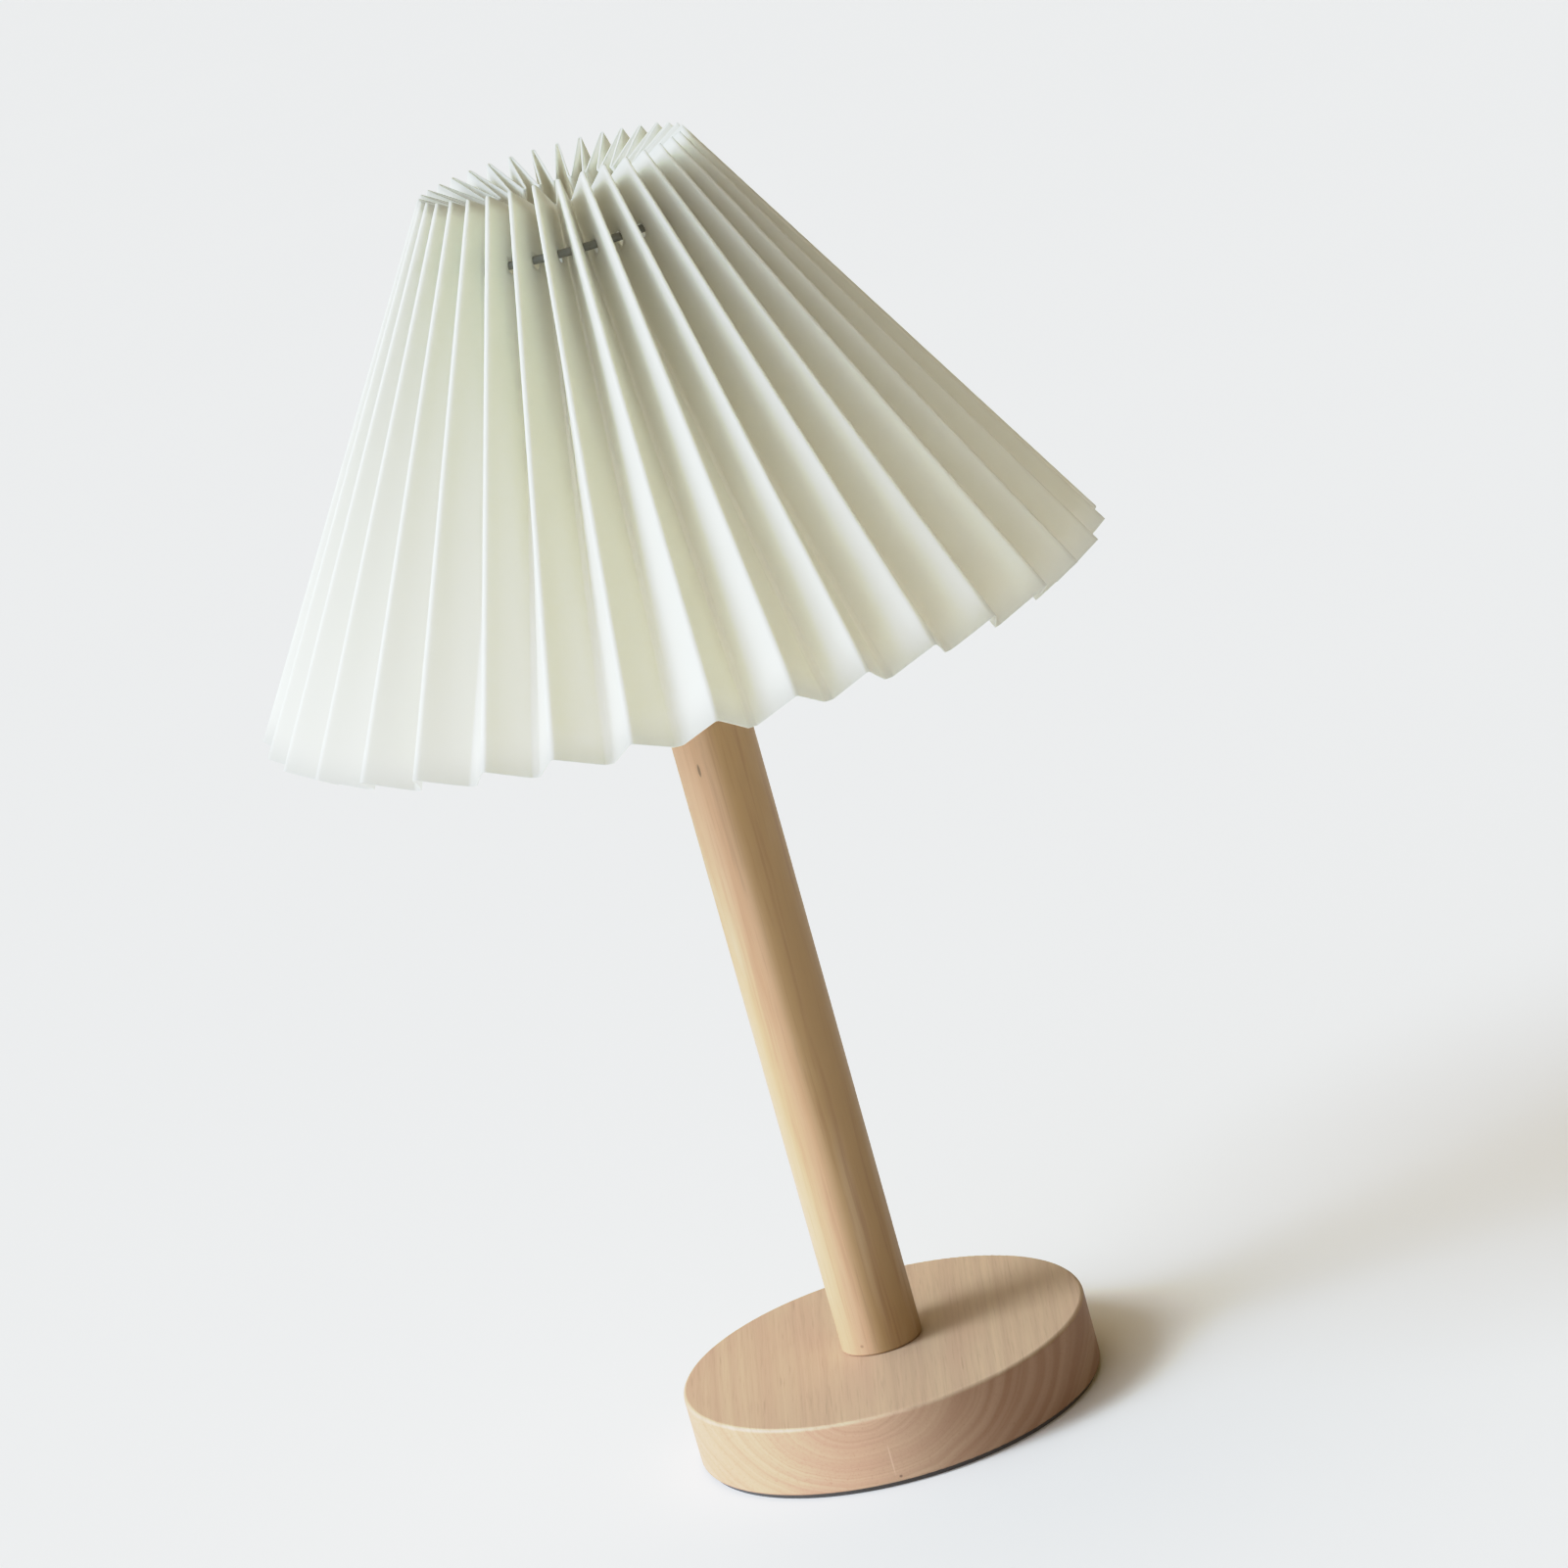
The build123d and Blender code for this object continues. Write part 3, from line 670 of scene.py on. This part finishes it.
def make_materials():
    return {
        "foot_wood": foot_wood(),
        "dowel_wood": dowel_wood(),
        "felt": felt(),
        "zinc_steel": metal("zinc_steel", srgb(176, 180, 184), srgb(150, 154, 160), 0.28),
        "dark_wire": painted_wire(),
        "holder_plastic": moulded("holder_plastic", srgb(226, 224, 212), srgb(232, 230, 220), 0.34),
        "core_ceramic": moulded("core_ceramic", srgb(232, 230, 224), srgb(240, 238, 233), 0.3, coat=0.5),
        "contact_brass": metal("contact_brass", srgb(206, 172, 104), srgb(186, 148, 84), 0.25),
        "outlet_plastic": moulded("outlet_plastic", srgb(30, 30, 31), srgb(42, 42, 44), 0.5),
        "shade_paper": paper(),
        "bulb_opal": opal_glass(),
        "bulb_clear": clear_glass(),
        "bulb_metal": metal("bulb_metal", srgb(196, 198, 200), srgb(170, 172, 176), 0.22),
        "bulb_black": moulded("bulb_black", srgb(26, 26, 28), srgb(38, 38, 40), 0.3),
        "filament_yellow": phosphor(),
    }


FINISHES = {
    "foot_wood": ["base_disc"],
    "dowel_wood": ["column"],
    "felt": ["base_pad"],
    "zinc_steel": ["threaded_tube", "base_washer", "base_nut", "lampholder_lock_screw"],
    "dark_wire": ["carrier_hub", "carrier_ring", "carrier_arm_1", "carrier_arm_2", "carrier_arm_3"],
    "holder_plastic": ["lampholder_cap", "lampholder_shell", "lower_shade_ring", "upper_shade_ring"],
    "core_ceramic": ["lampholder_core"],
    "contact_brass": ["terminal_screws", "centre_contact", "screw_shell"],
    "outlet_plastic": ["cord_bushing"],
    "bulb_opal": ["bulb_globe"],
    "bulb_clear": ["bulb_stem"],
    "bulb_metal": ["bulb_cap", "bulb_contact"],
    "bulb_black": ["bulb_insulator"],
    "filament_yellow": ["bulb_filaments"],
}


def dress(materials):
    """Gives each carried-over piece its finish."""
    for slot, names in FINISHES.items():
        for name in names:
            for material_slot in nodes[name].material_slots:
                material_slot.material = materials[slot]
            nodes[name]


# ---- studio --------------------------------------------------------------------------------------
FLOOR_HALF = 12.0
TONE_STEPS = [(0.28, 0.28), (0.44, 0.47), (0.58, 0.66), (0.78, 0.80)]
TONE_END = (1.0, 0.90)
ROOM_COOL_SIDE = (-0.88, -0.34, 0.34)
ROOM_COOL = (1.22, 1.41, 1.72, 1)
ROOM_WARM = (0.190, 0.142, 0.056, 1)
ROOM_AS_SEEN = (0.86, 0.88, 0.88, 1)
WINDOW_AZIMUTH = 13
WINDOW_COLOUR = (0.68, 0.85, 1.02)
# Each far light: name, azimuth from the left towards the front, elevation and width in degrees,
# strength, colour.
FAR_LIGHTS = [
    ("window_low", WINDOW_AZIMUTH, 6, 24, 0.35, WINDOW_COLOUR),
    ("window_middle", WINDOW_AZIMUTH, 21, 24, 0.85, WINDOW_COLOUR),
    ("window_high", WINDOW_AZIMUTH, 41, 26, 1.70, WINDOW_COLOUR),
    ("overhead", -60, 72, 40, 0.42, (1.0, 0.94, 0.80)),
    ("behind", -85, 36, 50, 0.20, (1.0, 0.90, 0.72)),
]


def make_floor():
    """A plain pale floor, as even as a sheet of studio paper."""
    material, g, place = new_material("pale_floor")
    cloud = g.noise(place, 3, 2)
    colour = g.blend(cloud, srgb(248, 243, 238), srgb(250, 245, 240))
    finish_with(g, g.add("ShaderNodeBsdfPrincipled", None, Base_Color=colour, Roughness=0.9))
    data = bpy.data.meshes.new("floor")
    corners = [(-FLOOR_HALF, -FLOOR_HALF, 0), (FLOOR_HALF, -FLOOR_HALF, 0), (FLOOR_HALF, FLOOR_HALF, 0),
               (-FLOOR_HALF, FLOOR_HALF, 0)]
    data.from_pydata(corners, [], [(0, 1, 2, 3)])
    data.materials.append(material)
    link("floor", data)


def far_light(name, azimuth, elevation, wide, strength, colour):
    """Soft light from far away, its angles in degrees."""
    data = bpy.data.lights.new(name, "SUN")
    data.angle = radians(wide)
    data.energy = strength
    data.color = colour
    azimuth = radians(azimuth)
    elevation = radians(elevation)
    source = Vector((-cos(azimuth) * cos(elevation), -sin(azimuth) * cos(elevation), sin(elevation)))
    lamp = link(name, data)
    lamp.rotation_euler = source.to_track_quat("Z", "Y").to_euler()


def make_room():
    """Light from all round: cool and bright from the window's side, warm and dim from the other. Seen
    itself, beyond the floor, the room is as pale as the floor."""
    world = bpy.data.worlds.new("studio")
    bpy.context.scene.world = world
    world.use_nodes = True
    world.node_tree.nodes.clear()
    g = Graph(world.node_tree)
    towards = g.add("ShaderNodeTexCoord")["Generated"]
    facing = g.dot(towards, Vector(ROOM_COOL_SIDE).normalized())["Value"]
    colour = g.blend(g.between(facing, 0.3, 1.0), ROOM_WARM, ROOM_COOL)
    seen = g.add("ShaderNodeLightPath")["Is Camera Ray"]
    colour = g.blend(seen, colour, ROOM_AS_SEEN)
    g.add("ShaderNodeOutputWorld", None, Surface=g.add("ShaderNodeBackground", None, colour, 1.0))


def set_tones():
    """The photograph's tones: middle tones lifted, lights held back from pure white."""
    view = bpy.context.scene.view_settings
    view.view_transform = "Standard"
    view.use_curve_mapping = True
    curve = view.curve_mapping.curves[3]
    for darker, lighter in TONE_STEPS:
        curve.points.new(darker, lighter)
    curve.points[-1].location = TONE_END
    view.curve_mapping.update()


def make_light():
    """A tall cool window at the left, built from soft lights one above the other, and two weak fills."""
    set_tones()
    make_room()
    for light in FAR_LIGHTS:
        far_light(*light)


# ---- put together --------------------------------------------------------------------------------
make_camera()
materials = make_materials()
dress(materials)
make_shade(materials["shade_paper"])
make_floor()
make_light()
